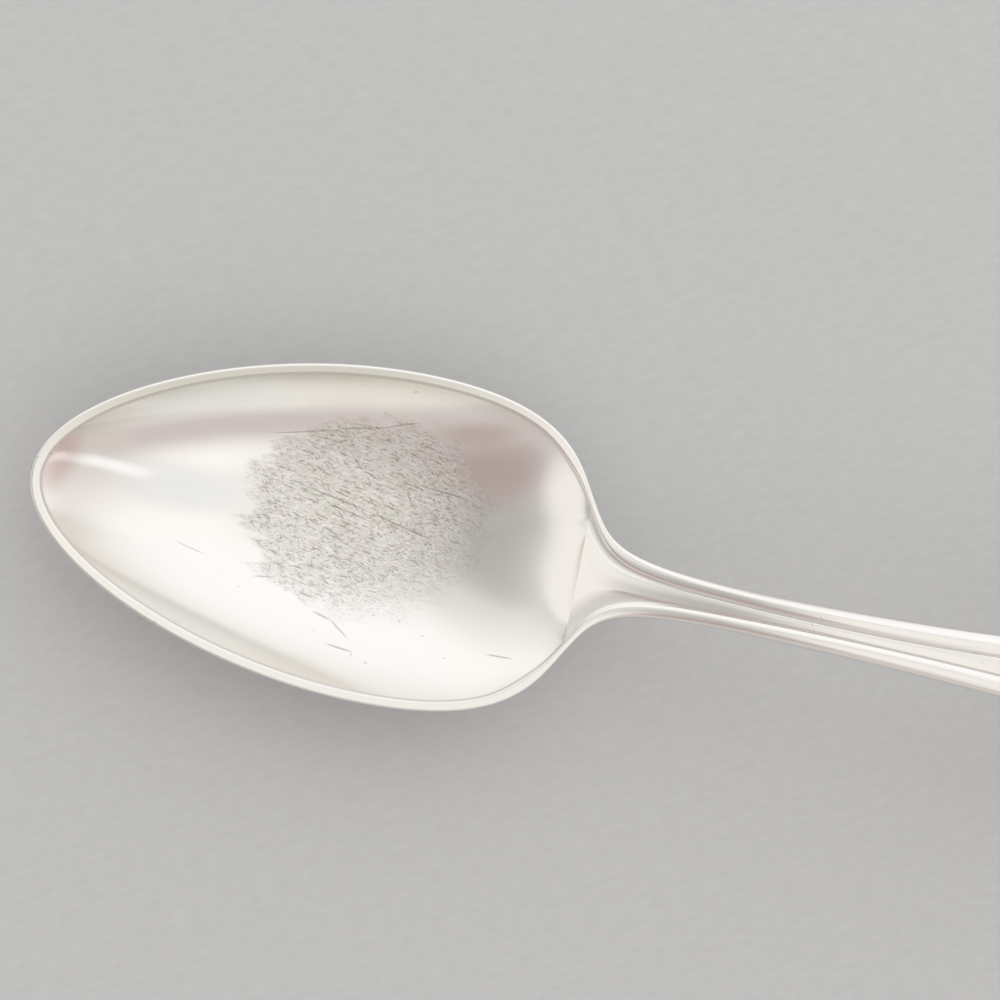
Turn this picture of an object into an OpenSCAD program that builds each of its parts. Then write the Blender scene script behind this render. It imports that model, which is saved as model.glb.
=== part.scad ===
// Teaspoon with a pointed oval bowl and a threaded handle, lying bowl up.
// The real spoon is struck from one blank of metal. Its regions are separate
// solids here that meet face to face, so each can be used or changed by itself.
// X runs along the spoon from the tip of the bowl to the end of the handle,
// Z is up, and the origin is under the middle of the spoon, on the surface
// that it rests on. Places along the spoon are measured from the bowl's tip.

/* [Spoon] */
// Length from the tip of the bowl to the end of the handle
spoon_len = 140; // [132:1:150]

/* [Bowl] */
// Length of the hollow, from the tip to the heel line
bowl_len = 45; // [43:0.5:48]
// Width of the bowl over its rim
bowl_w = 27.8; // [24:0.2:30]
// Place of the bowl's widest part
widest_at = 29.8; // [28:0.2:32]
// Place of the bowl's deepest part
deepest_at = 25; // [22:0.5:28]
// Depth of the hollow below the lowest part of the rim
bowl_depth = 6.7; // [5.5:0.1:8]
// Metal under the deepest part of the hollow
wall_t = 1.25; // [1:0.05:1.6]
// Width of the flat rim round the hollow
rim_w = 0.95; // [0.7:0.05:1.3]
// Thickness of the rim at its outer edge
rim_t = 1; // [0.8:0.05:1.3]
// Fall of the bevel from the rim into the hollow
rim_bevel = 0.2; // [0.1:0.05:0.3]
// Rise of the rim from its lowest part to the tip
tip_lift = 1.1; // [0.5:0.1:2]
// Rise of the rim from its lowest part to the heel line
heel_lift = 1.25; // [0.8:0.05:2]
// Sink that leaves a worn flat under the bowl
worn_flat = 0.16; // [0.08:0.02:0.3]

/* [Neck] */
// Width of the spoon across the heel line
shoulder_w = 13.5; // [12:0.1:15]
// Length from the heel line to the narrowest part of the stem
neck_len = 14.2; // [12:0.2:17]
// Width of the narrowest part of the stem
neck_w = 3.65; // [3.2:0.05:4.2]
// Thickness of the metal behind the heel line
heel_t = 1.9; // [1.5:0.1:2.4]
// Thickness of the stem at its narrowest part
neck_t = 2.4; // [1.8:0.1:3]
// Width of the hollow's corner beside the flat face of the neck
corner_w = 2.5; // [1.6:0.1:3]
// Depth of that corner where it passes the heel line
corner_depth = 0.12; // [0.06:0.02:0.4]
// Distance past the heel line at which the hollow, uncut, would come out level
corner_run = 0.5; // [0.2:0.1:1]
// Distance by which the flat face lies towards +Y at the heel line
face_shift = 0.8; // [0:0.1:1]
// Length over which the face comes back to the middle
face_run = 7; // [5:0.5:9]
// Height of the broad swell in the hollow before the heel line
heel_swell = 0.45; // [0.2:0.05:0.6]

/* [Drop] */
// Length of the raised tongue on the back of the bowl
drop_len = 9.5; // [7:0.5:12]
// Thickness of the tongue at the heel line
drop_t = 1; // [0.6:0.1:1.4]
// Step at the edge of the tongue
drop_step = 0.18; // [0.1:0.02:0.3]

/* [Stem] */
// Place of the highest part of the handle
crest_at = 83; // [78:1:90]
// Height of the top of the handle there
crest_h = 18.5; // [16:0.5:20]
// Distance from the heel line to where the top rises most steeply
rise_run = 12; // [10:0.5:14]
// Rise of the top over that distance
rise_h = 3.8; // [3:0.1:4.2]
// Thickness of the stem's edges
stem_edge_t = 1.25; // [1:0.05:1.5]
// Width of the thread moulding at the neck
thread_w = 1.25; // [1:0.05:1.4]
// Height of the thread moulding over its edges
thread_h = 0.16; // [0.05:0.01:0.2]
// Fall of the thread's rounded outer side
thread_round = 0.36; // [0.2:0.02:0.45]
// Width of the groove inside the thread
groove_w = 0.17; // [0.12:0.01:0.25]
// Depth of that groove
groove_depth = 0.12; // [0.08:0.02:0.3]
// Fall of the rim's rounded outer edge
edge_round = 0.3; // [0.15:0.05:0.4]
// Crown of the plain field between the threads
field_crown = 0.06; // [0:0.01:0.12]

/* [Handle end] */
// Width of the widest part of the handle
end_w = 15; // [12:0.5:18]
// Length from that widest part to the end of the handle
end_len = 11; // [9:0.5:13]
// Distance from the end to where the handle touches down
touch_inset = 9.5; // [8:0.5:11]
// Thickness of the handle where it touches down
end_t = 1.5; // [1.2:0.1:2]
// Thickness of the handle's edges there
end_edge_t = 1; // [0.8:0.05:1.2]
// Rise of the end of the handle past the touch down
end_lift = 0.5; // [0.2:0.1:1]
// Width of the thread moulding round the end
end_thread_w = 2; // [1.6:0.05:2.4]

/* [Hidden] */

// Steps of the outline and of the rings
tip_steps = 22;
flank_steps = 11;
shoulder_steps = 15;
stem_steps = 18;
flare_steps = 8;
end_steps = 12;
bowl_rings = 15;
end_rings = 8;
drop_steps = 8;

// Shares of each curve's run at which its handles lie
tip_blunt_share = 0.5;
tip_long_share = 0.47;
flank_start_share = 0.79;
flank_end_share = 0.1;
shoulder_start_share = 0.15;
shoulder_end_share = 0.82;
side_start_share = 0.47;
side_end_share = 0.19;
end_side_share = 0.5;
end_blunt_share = 0.52;
// Fall of the outline over its run, where it crosses the heel line
shoulder_slope_share = 1.7;
// Slopes of the top of the spoon seen from the side
tip_slope_share = -0.11;
heel_slope_share = 0.16;
rise_slope_share = 0.41;
touch_slope_share = -0.05;
end_slope_share = 0.08;
// Growth of the thread's width over its run, where the stem begins
thread_slope_share = 0.025;
// Share of the stem's side curve that belongs to the stem
stem_share = 0.72;
// Places across the rim or thread, from the outer edge inwards
thread_shares = [0, 0.12, 0.35, 0.7, 0.9, 1];
// Fall of the outer edge at those places, as a share of edge_round on the rim
edge_fall_shares = [1, 0.35, 0, 0, 0, 0];
// and as a share of thread_round on the thread
thread_fall_shares = [1, 0.61, 0.13, 0, 0, 0];
// Rise of the thread at those places, as a share of thread_h
thread_rise_shares = [0, 0.42, 0.91, 0.84, 0.36, 0];
// Fall of the inner lip at those places, as a share of the bevel
lip_fall_shares = [0, 0, 0, 0, 0.4, 1];
// Places across half of the plain field, from its edge to the middle
field_shares = [1, 0.85, 0.5, 0];
// How much steeper than a parabola the hollow's wall is
hollow_steep_share = 0.22;
// Powers by which the neck's corners close and rise, and by which its drop fades
corner_close = 4;
corner_rise = 2;
drop_fade = 2;
// Power by which the face comes back to the middle
face_return = 1.5;
// Powers by which the seam's own shape fades into the back, and by which the broad swell
// and what is left of the seam's shape fade into the hollow
back_fade = 4;
swell_fade = 6;
hollow_fade = 30;
// Powers by which the tongue's section, plan, thickness and rows run
drop_square = 4;
drop_round = 3;
drop_swell = 1.5;
// Share of the edge's thickness at which the underside begins
edge_low_share = 0.75;
// Share of the outline's last stretch in which the rim's inner line turns to meet the seam
turn_share = 0.35;
// Place of the centre of the handle end's rings, as a share of the flare and end
end_centre_share = 0.5;
// Roundness of the underside across the stem
belly_share = 0.6;
// Fall of the thread's inner lip on the stem, as a share of the groove's width
stem_lip_share = 0.3;
// Places across half of the tongue, and how blunt its end starts and how it tapers
drop_shares = [1, 0.9, 0.7, 0.4, 0];
drop_start_share = 0.03;
drop_taper_share = 0.65;

// Places along the spoon and heights of its top
neck_end = bowl_len + neck_len;
side_end = spoon_len - end_len;
touch_at = spoon_len - touch_inset;
rim_h = bowl_depth + wall_t;
flank_run = bowl_len - widest_at;
side_run = side_end - neck_end;
stem_lip = groove_w * stem_lip_share;

// The lines of a section: how many follow the edge, and how many there are in all
thread_lines = len(thread_shares);
line_count = 2 * (thread_lines + 1 + len(field_shares)) - 1;

// Half outlines in plan, each a curve of four points
tip_curve = [
    [0, 0],
    [0, tip_blunt_share * bowl_w / 2],
    [widest_at * (1 - tip_long_share), bowl_w / 2],
    [widest_at, bowl_w / 2]
];
flank_curve = [
    [widest_at, bowl_w / 2],
    [widest_at + flank_start_share * flank_run, bowl_w / 2],
    [
        bowl_len - flank_end_share * flank_run,
        shoulder_w / 2 + shoulder_slope_share * flank_end_share * flank_run
    ],
    [bowl_len, shoulder_w / 2]
];
shoulder_curve = [
    [bowl_len, shoulder_w / 2],
    [
        bowl_len + shoulder_start_share * neck_len,
        shoulder_w / 2 - shoulder_slope_share * shoulder_start_share * neck_len
    ],
    [neck_end - shoulder_end_share * neck_len, neck_w / 2],
    [neck_end, neck_w / 2]
];
side_curve = [
    [neck_end, neck_w / 2],
    [neck_end + side_start_share * side_run, neck_w / 2],
    [side_end - side_end_share * side_run, end_w / 2],
    [side_end, end_w / 2]
];
end_curve = [
    [side_end, end_w / 2],
    [side_end + end_side_share * end_len, end_w / 2],
    [spoon_len, end_blunt_share * end_w / 2],
    [spoon_len, 0]
];

// Stations along the spoon: place, value there and slope there
deck_stations = [
    [0, rim_h + tip_lift, tip_slope_share],
    [deepest_at, rim_h, 0],
    [bowl_len, rim_h + heel_lift, heel_slope_share],
    [bowl_len + rise_run, rim_h + heel_lift + rise_h, rise_slope_share],
    [crest_at, crest_h, 0],
    [touch_at, end_t, touch_slope_share],
    [spoon_len, end_t + end_lift, end_slope_share]
];
middle_stations = [
    [bowl_len, heel_t, 0],
    [neck_end, neck_t, 0],
    [touch_at, end_t, 0],
    [spoon_len, end_t, 0]
];
edge_stations = [
    [0, rim_t, 0],
    [bowl_len, rim_t, 0],
    [neck_end, stem_edge_t, 0],
    [touch_at, end_edge_t, 0],
    [spoon_len, end_edge_t, 0]
];
thread_stations = [
    [bowl_len, thread_w, 0],
    [neck_end, thread_w, thread_slope_share],
    [side_end, end_thread_w, 0],
    [spoon_len, end_thread_w, 0]
];

// A point of a curve, from one end (t = 0) to the other (t = 1)
function bezier(p, t) =
    p[0] * pow(1 - t, 3) + 3 * p[1] * t * pow(1 - t, 2) + 3 * p[2] * t * t * (1 - t) + p[3] * pow(t, 3);

// The points of a curve between two shares of it
function curve(p, steps, from = 0, to = 1) =
    [for (i = [0:steps]) bezier(p, from + (to - from) * i / steps)];

// The value between two stations
function between(a, b, x) =
    let (
        run = b[0] - a[0],
        s = (x - a[0]) / run,
        ends = a[1] * (1 + 2 * s) * pow(1 - s, 2) + b[1] * s * s * (3 - 2 * s),
        slopes = a[2] * s * pow(1 - s, 2) - b[2] * s * s * (1 - s)
    )
    ends + run * slopes;

// The value at a place, from a list of stations
function rail(stations, x, i = 0) =
    (i == len(stations) - 2 || x <= stations[i + 1][0])
        ? between(stations[i], stations[i + 1], x)
        : rail(stations, x, i + 1);

function deck(x) = rail(deck_stations, x);
function edge_low(x) = edge_low_share * rail(edge_stations, x);

// How far along the neck a place is, from 0 at the heel line to 1
function neck_share(x) = min(1, max(0, (x - bowl_len) / neck_len));

// Width, along Y, from the thread's inner line to the edge of the field
function corner(x) = groove_w + (corner_w - groove_w) * pow(1 - neck_share(x), corner_close);

// Depth of the groove or corner below the lip
function corner_fall(x) =
    groove_depth + (corner_depth - groove_depth) * pow(1 - neck_share(x), corner_rise);

// Fall of the lip inside the rim or thread
function lip_fall(x) = rim_bevel + (stem_lip - rim_bevel) * neck_share(x);

// Rise of the thread, which grows out of the flat rim along the neck
function thread_rise(x) = thread_h * neck_share(x);

// Fall of the outer edge at line k, which changes from the rim's to the thread's
function edge_fall(x, k) =
    let (rim = edge_fall_shares[k] * edge_round)
    rim + (thread_fall_shares[k] * thread_round - rim) * neck_share(x);

// Height over the deck of line k of the rim or thread
function border_z(x, k) =
    thread_rise_shares[k] * thread_rise(x) - edge_fall(x, k) - lip_fall_shares[k] * lip_fall(x);

// How far the flat face lies towards +Y
function face_offset(x) = face_shift * pow(max(0, 1 - (x - bowl_len) / face_run), face_return);

// Thickness from the deck to the underside at y, for a section of half width w
function belly(x, w, y) =
    let (low = edge_low(x))
    low + (rail(middle_stations, x) - low) * pow(max(0, 1 - pow(y / w, 2)), belly_share);

// Extra thickness of the tongue, within half width h
function keel(depth, h, y) = depth * (1 - pow(min(1, abs(y) / h), drop_square));

// Half of the lines of a section: place across, height over the deck, and the share of
// the face's offset that the line follows
function half_lines(x, w) =
    let (
        b = rail(thread_stations, x),
        g = corner(x),
        h = w - b - g
    )
    concat(
        [for (k = [0:thread_lines - 1]) [w - b * thread_shares[k], border_z(x, k), 0]],
        [[w - b - g / 2, -(lip_fall(x) + field_crown) / 2 - corner_fall(x), 1 / 2]],
        [for (f = field_shares) [h * f, -field_crown * f * f, 1]]
    );

// All lines of a section, from the +Y edge to the -Y edge
function lines(x, w) =
    let (half = half_lines(x, w), n = len(half), off = face_offset(x))
    concat(
        [for (p = half) [p[0] + off * p[2], p[1]]],
        [for (i = [n - 2:-1:0]) [-half[i][0] + off * half[i][2], half[i][1]]]
    );

// The top and the underside of a section
function top_row(x, w) = [for (p = lines(x, w)) [x, p[0], deck(x) + p[1]]];
function under_row(x, w, depth = 0) =
    let (h = half_lines(x, w)[thread_lines + 1][0])
    [for (p = lines(x, w)) [x, p[0], max(0, deck(x) - belly(x, w, p[0]) - keel(depth, h, p[0]))]];

// A half outline that starts at the +Y seam, goes round the end and comes back
function round_trip(half) =
    let (n = len(half))
    concat(half, [for (i = [n - 2:-1:0]) [half[i][0], -half[i][1]]]);

// Inward direction at each point of a round trip, turned along the seam at both ends,
// and with it the share of that turn
function inward(path, seam, run) =
    let (n = len(path))
    [for (i = [0:n - 1])
        let (
            a = path[max(0, i - 1)],
            b = path[min(n - 1, i + 1)],
            t = (b - a) / norm(b - a),
            side = path[i][1] >= 0 ? 1 : -1,
            left = [-t[1], t[0]],
            right = [t[1], -t[0]],
            n_in = seam > path[floor(n / 2)][0] ? left : right,
            near = max(0, 1 - abs(path[i][0] - seam) / run),
            s = near * near * (3 - 2 * near),
            v = n_in * (1 - s) + [0, -side] * s
        )
        concat(v / norm(v), [s])
    ];

// A line that follows a round trip, some way inwards
function inset(path, ins, distances) =
    [for (i = [0:len(path) - 1]) path[i] + distances[i] * [ins[i][0], ins[i][1]]];

// The points of a plan line, each at its own height over the deck
function laid(line, k) = [for (p = line) [p[0], p[1], deck(p[0]) + border_z(p[0], k)]];

// Lists of point numbers, and the triangles between them
function strip(a, b) = [for (i = [0:len(a) - 2]) each [[a[i], b[i], b[i + 1]], [a[i], b[i + 1], a[i + 1]]]];
function fan(c, a) = [for (i = [0:len(a) - 2]) [c, a[i + 1], a[i]]];
function looped(a) = concat(a, [a[0]]);
function span(from, count) = [for (i = [0:count - 1]) from + i];
function backwards(a) = [for (i = [len(a) - 1:-1:0]) a[i]];
function part_of(a, from, to) = [for (i = [from:to]) a[i]];
function flipped(faces) = [for (f = faces) backwards(f)];
function shifted(faces, by) = [for (f = faces) [for (i = f) i + by]];

// A skin is a list of points, its faces, the numbers along its outline from the
// +Y seam to the -Y seam, and the numbers along its seam from -Y to +Y.
// This one has lines that follow the outline, then rings that close on a middle.
function ring_skin(border, seam, rings, middle) =
    let (
        m = len(border[0]),
        b = len(border),
        s = len(seam),
        loop = m + s,
        rings_at = b * m + s,
        middle_at = rings_at + len(rings) * loop,
        along = [for (i = [0:b - 1]) span(i * m, m)],
        seam_at = span(b * m, s),
        outer_loop = concat(along[b - 1], seam_at),
        loops = concat([outer_loop], [for (i = [0:len(rings) - 1]) span(rings_at + i * loop, loop)])
    )
    [
        concat([for (l = border) each l], seam, [for (r = rings) each r], [middle]),
        concat(
            [for (i = [0:1:b - 2]) each strip(along[i], along[i + 1])],
            [for (i = [0:len(loops) - 2]) each strip(looped(loops[i]), looped(loops[i + 1]))],
            fan(middle_at, looped(loops[len(loops) - 1]))
        ),
        along[0],
        concat([for (l = along) l[m - 1]], seam_at, backwards([for (l = along) l[0]]))
    ];

// This skin has rows across the spoon, from its seam to a tip
function row_skin(rows, tip) =
    let (
        n = len(rows[0]),
        count = len(rows),
        tip_at = n * count,
        row_at = [for (i = [0:count - 1]) span(i * n, n)],
        plus_side = [for (r = row_at) r[0]],
        minus_side = [for (r = row_at) r[n - 1]]
    )
    [
        concat([for (r = rows) each r], [tip]),
        concat(
            [for (i = [0:count - 2]) each flipped(strip(row_at[i], row_at[i + 1]))],
            flipped(fan(tip_at, row_at[count - 1]))
        ),
        concat(plus_side, [tip_at], backwards(minus_side)),
        backwards(row_at[0])
    ];

// A solid between an upper and a lower skin with the same outline and seam
module between_skins(upper, lower, turned = false) {
    n = len(upper[0]);
    faces = concat(
        upper[1],
        flipped(shifted(lower[1], n)),
        strip([for (i = lower[2]) i + n], upper[2]),
        strip([for (i = lower[3]) i + n], upper[3])
    );
    polyhedron(points = concat(upper[0], lower[0]), faces = turned ? flipped(faces) : faces);
}

// A solid lofted through sections, closed by a flat face at each end
module lofted(tops, unders) {
    n = len(tops[0]);
    rows = len(tops);
    top = [for (i = [0:rows - 1]) span(i * n, n)];
    under = [for (i = [0:rows - 1]) span((rows + i) * n, n)];
    faces = concat(
        [for (i = [0:rows - 2]) each strip(top[i], top[i + 1])],
        [for (i = [0:rows - 2]) each flipped(strip(under[i], under[i + 1]))],
        strip([for (r = top) r[0]], [for (r = under) r[0]]),
        strip([for (r = under) r[n - 1]], [for (r = top) r[n - 1]]),
        strip(under[0], top[0]),
        flipped(strip(under[rows - 1], top[rows - 1]))
    );
    polyhedron(points = concat([for (r = tops) each r], [for (r = unders) each r]), faces = faces);
}

// Share of the rise from the bowl's deepest place to its edge
function hollow(r) = (1 - hollow_steep_share) * r * r + hollow_steep_share * pow(r, 4);

// Shares at which a number of rings lie between their loop and their middle
function ring_shares(count) = [for (i = [count - 1:-1:1]) i / count];

// The bowl's outline, the directions across its rim and the width of the rim there
bowl_half = concat(
    backwards(curve(flank_curve, flank_steps)),
    part_of(backwards(curve(tip_curve, tip_steps)), 1, tip_steps)
);
bowl_path = round_trip(bowl_half);
bowl_inward = inward(bowl_path, bowl_len, turn_share * flank_run);
bowl_rim_widths = [for (v = bowl_inward) rim_w + (thread_w - rim_w) * v[2]];

// Half widths of the bowl at places along it, over its edge and inside its rim
edge_widths = backwards(bowl_half);
rim_line = inset(bowl_path, bowl_inward, bowl_rim_widths);
inner_widths = backwards(part_of(rim_line, 0, len(bowl_half) - 1));

// A height in the bowl: from the edge's height down by a depth, which shrinks
// towards the tip, the heel and both sides. Widths are half widths at places.
function dished(x, y, edge_z, depth, widths, heel_end) =
    let (
        end = x < deepest_at ? widths[0][0] : heel_end,
        u = min(1, (x - deepest_at) / (end - deepest_at)),
        v = min(1, abs(y) / max(lookup(x, widths), rim_bevel))
    )
    edge_z - depth * (1 - hollow(u)) * (1 - hollow(v));
function inside_z(x, y) =
    dished(x, y, deck(x) - rim_bevel, bowl_depth - rim_bevel, inner_widths, bowl_len + corner_run);
function outside_z(x, y) =
    let (depth = rim_h - edge_low(deepest_at) + worn_flat)
    dished(x, y, deck(x) - edge_low(x), depth, edge_widths, bowl_len);

// Height that a line from the hollow's edge at y, which is off the hollow by lift there,
// still adds at a share r of its run
function raised(y, lift, r) =
    let (
        q = min(1, abs(y) / (shoulder_w / 2 - thread_w)),
        swell = heel_swell * pow(1 - q * q, 2)
    )
    swell * pow(r, swell_fade) + (lift - swell) * pow(r, hollow_fade);

// How far a point of the bowl lies towards the heel line, seen from its deepest place
function heel_share(x) = max(0, (x - deepest_at) / (bowl_len - deepest_at));

// Height of the bowl's back near the heel, where it thickens into the neck
function back_z(x, y) =
    let (r = heel_share(x), extra = belly(bowl_len, shoulder_w / 2, y / r) - edge_low(bowl_len))
    outside_z(x, y) - extra * pow(r, back_fade);

// The bowl: rim, hollow and back, with a flat seam at the heel line
module bowl() {
    w = shoulder_w / 2;
    border = [
        for (k = [0:thread_lines - 1])
            laid(inset(bowl_path, bowl_inward, bowl_rim_widths * thread_shares[k]), k)
    ];
    seam_top = backwards(part_of(top_row(bowl_len, w), thread_lines, line_count - 1 - thread_lines));
    seam_under = backwards(part_of(under_row(bowl_len, w), 1, line_count - 2));
    edge = [for (p = bowl_path) [p[0], p[1], deck(p[0]) - edge_low(p[0])]];
    top_loop = concat(border[thread_lines - 1], seam_top);
    under_loop = concat(edge, seam_under);
    top_rings = [
        for (r = ring_shares(bowl_rings))
            [
                for (e = top_loop)
                    let (
                        x = deepest_at + (e[0] - deepest_at) * r,
                        y = e[1] * r,
                        lift = e[2] - inside_z(e[0], e[1])
                    )
                    [x, y, inside_z(x, y) + raised(e[1], lift, r)]
            ]
    ];
    under_rings = [
        for (r = ring_shares(bowl_rings))
            [
                for (e = under_loop)
                    let (
                        x = deepest_at + (e[0] - deepest_at) * r,
                        y = e[1] * r,
                        lift = e[2] - outside_z(e[0], e[1])
                    )
                    [x, y, max(0, outside_z(x, y) + lift * pow(r, back_fade))]
            ]
    ];
    color("gainsboro")
        between_skins(
            ring_skin(border, seam_top, top_rings, [deepest_at, 0, wall_t]),
            ring_skin([edge], seam_under, under_rings, [deepest_at, 0, 0])
        );
}

// The drop: the raised tongue that carries the stem's back onto the bowl's back
module heel_drop() {
    h_seam = half_lines(bowl_len, shoulder_w / 2)[thread_lines + 1][0];
    shares = concat(drop_shares, [for (i = [len(drop_shares) - 2:-1:0]) -drop_shares[i]]);
    // Each row has its place, its half width and its thickness in the middle
    rows = [
        for (i = [0:drop_steps])
            let (
                p = drop_start_share + (1 - drop_start_share) * pow(i / drop_steps, drop_swell),
                taper = drop_taper_share + (1 - drop_taper_share) * p
            )
            [
                bowl_len - drop_len * (1 - p),
                h_seam * taper * sqrt(1 - pow(1 - p, drop_round)),
                drop_step + (drop_t - drop_step) * pow(p, drop_swell)
            ]
    ];
    tops = [for (r = rows) [for (f = shares) [r[0], r[1] * f, back_z(r[0], r[1] * f)]]];
    unders = [
        for (i = [0:len(rows) - 1])
            let (r = rows[i])
            [
                for (p = tops[i])
                    [p[0], p[1], p[2] - drop_step - keel(r[2] - drop_step, r[1], p[1])]
            ]
    ];
    color("silver")
        lofted(tops, unders);
}

// The neck: the flat face behind the heel line, between the corners of the hollow
module neck() {
    rows = curve(shoulder_curve, shoulder_steps);
    color("lightgray")
        lofted(
            [for (r = rows) top_row(r[0], r[1])],
            [for (r = rows) under_row(r[0], r[1], drop_t * pow(1 - neck_share(r[0]), drop_fade))]
        );
}

// The stem: a thread along each edge, a groove inside it and a plain field between
module stem() {
    rows = curve(side_curve, stem_steps, 0, stem_share);
    color("gainsboro")
        lofted([for (r = rows) top_row(r[0], r[1])], [for (r = rows) under_row(r[0], r[1])]);
}

// A point of a ring on the handle end's plain field
function field_point(e, r, middle) =
    let (x = middle + (e[0] - middle) * r)
    [x, e[1] * r, deck(x) + (e[2] - deck(e[0])) * r * r];

// A row of the handle end's back, of half width w, which thins towards the end. Its lines
// lie at the same shares of the width as those of the seam.
function end_row(x, w, seam) =
    let (
        s = max(0, (x - side_end) / end_len),
        thin = pow(1 - s * s, belly_share),
        low = edge_low(x)
    )
    [
        for (p = lines(seam[0], seam[1]))
            let (y = p[0] * w / seam[1])
            [x, y, max(0, deck(x) - low - (belly(x, w, y) - low) * thin)]
    ];

// The handle's flared and rounded end, with the thread carried round it
module handle_end() {
    seam = bezier(side_curve, stem_share);
    half = concat(
        curve(side_curve, flare_steps, stem_share),
        part_of(curve(end_curve, end_steps), 1, end_steps)
    );
    path = round_trip(half);
    ins = inward(path, seam[0], turn_share * (side_end - seam[0]));
    widths = [for (p = path) rail(thread_stations, p[0])];
    to_groove = [for (w = widths) w + groove_w / 2];
    to_field = [for (w = widths) w + groove_w];
    middle = seam[0] + (spoon_len - seam[0]) * end_centre_share;
    border = concat(
        [for (k = [0:thread_lines - 1]) laid(inset(path, ins, widths * thread_shares[k]), k)],
        [
            [
                for (p = inset(path, ins, to_groove))
                    [p[0], p[1], deck(p[0]) - (lip_fall(p[0]) + field_crown) / 2 - groove_depth]
            ]
        ],
        [[for (p = inset(path, ins, to_field)) [p[0], p[1], deck(p[0]) - field_crown]]]
    );
    seam_lines = part_of(top_row(seam[0], seam[1]), thread_lines + 2, line_count - thread_lines - 3);
    seam_top = backwards(seam_lines);
    loop = concat(border[thread_lines + 1], seam_top);
    rings = [for (r = ring_shares(end_rings)) [for (e = loop) field_point(e, r, middle)]];
    under_rows = [for (i = [0:len(half) - 2]) end_row(half[i][0], half[i][1], seam)];
    color("lightgray")
        between_skins(
            ring_skin(border, seam_top, rings, [middle, 0, deck(middle)]),
            row_skin(under_rows, [spoon_len, 0, deck(spoon_len) - edge_low(spoon_len)]),
            true
        );
}

// Each region stands in the spoon's own frame
module placed() {
    translate([-spoon_len / 2, 0, 0])
        children();
}

placed() bowl();
placed() heel_drop();
placed() neck();
placed() stem();
placed() handle_end();
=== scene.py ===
# %% [markdown]
# # A silver-plated teaspoon
# The real spoon is one blank of nickel silver. It is rolled thin where the bowl will be, cut out, struck
# between two dies that bend it and press its mouldings in, then plated with silver and polished. Its
# surfaces run on without a joint, so what the eye reads are crisp edges and soft reflections.
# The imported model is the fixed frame. Every piece made here stands in for one of its nodes, at that size.

import bisect
import math

import bmesh
import bpy
from mathutils import Matrix, Vector


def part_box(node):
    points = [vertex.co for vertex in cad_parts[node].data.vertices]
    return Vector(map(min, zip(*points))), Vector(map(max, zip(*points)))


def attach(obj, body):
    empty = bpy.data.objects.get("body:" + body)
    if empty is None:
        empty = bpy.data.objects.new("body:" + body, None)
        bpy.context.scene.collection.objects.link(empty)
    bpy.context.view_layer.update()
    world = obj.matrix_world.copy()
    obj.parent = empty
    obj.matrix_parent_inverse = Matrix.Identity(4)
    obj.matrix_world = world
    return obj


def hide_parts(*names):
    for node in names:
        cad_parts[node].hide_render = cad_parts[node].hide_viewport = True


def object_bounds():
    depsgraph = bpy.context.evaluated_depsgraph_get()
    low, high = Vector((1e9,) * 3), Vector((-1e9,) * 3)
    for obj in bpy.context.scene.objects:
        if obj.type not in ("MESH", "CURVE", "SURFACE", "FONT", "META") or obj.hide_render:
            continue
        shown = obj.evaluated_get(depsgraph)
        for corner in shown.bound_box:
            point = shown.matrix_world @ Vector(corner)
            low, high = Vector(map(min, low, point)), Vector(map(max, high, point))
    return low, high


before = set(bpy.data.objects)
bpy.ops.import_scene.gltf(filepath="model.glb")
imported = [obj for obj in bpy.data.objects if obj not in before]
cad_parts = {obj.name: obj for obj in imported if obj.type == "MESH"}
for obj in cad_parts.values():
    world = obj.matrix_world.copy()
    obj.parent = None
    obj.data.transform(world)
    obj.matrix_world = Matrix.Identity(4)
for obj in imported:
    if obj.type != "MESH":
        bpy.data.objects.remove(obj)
cad_low, cad_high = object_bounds()
print("CAD box:", [round(c, 5) for c in cad_low], [round(c, 5) for c in cad_high])

# %% [markdown]
# ## The spoon's sizes
# A die maker draws a spoon by its plan, its side and its sections. The same drawing is used here, in
# millimetres, with places measured from the bowl's tip. The large sizes come from the frame, so the pieces
# fit it, and the small ones, such as the rim's width, are the drawing's own. A name that ends in _len is a
# length, _w a width, _t a thickness, _h a height, and _at a place along the spoon.

# %% Sizes from the frame and from the drawing
MM = 0.001
# From the drawing, in millimetres from the bowl's tip, to the frame, in metres from the spoon's middle.
TO_FRAME = Matrix.Translation((cad_low.x, 0, 0)) @ Matrix.Scale(MM, 4)


def far_end(node):
    """The place, in millimetres from the bowl's tip, where a node ends."""
    return round((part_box(node)[1].x - cad_low.x) / MM, 3)


def width(node):
    """A node's width in millimetres."""
    return round((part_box(node)[1].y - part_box(node)[0].y) / MM, 3)


spoon_len = far_end("handle_end")
bowl_len = far_end("bowl")
neck_end = far_end("neck")
bowl_w = width("bowl")
shoulder_w = width("neck")
end_w = width("handle_end")
top_h = cad_high.z / MM

# The bowl. Its tip and heel lift over the lowest place of the rim, and the back is worn flat at the bottom.
widest_at, deepest_at = 29.8, 25.0
bowl_depth, wall_t, worn_flat = 6.7, 1.25, 0.16
rim_w, rim_t, rim_bevel = 0.95, 1.0, 0.2
tip_lift, heel_lift = 1.1, 1.25
# The neck: the corners of the hollow, the flat face between them, and the drop on the back.
neck_w, heel_t, neck_t = 3.65, 1.9, 2.4
corner_w, corner_depth, corner_run = 2.5, 0.12, 0.5
face_shift, face_run, heel_swell = 0.8, 7.0, 0.45
drop_len, drop_t, drop_step = 9.5, 1.0, 0.18
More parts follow.
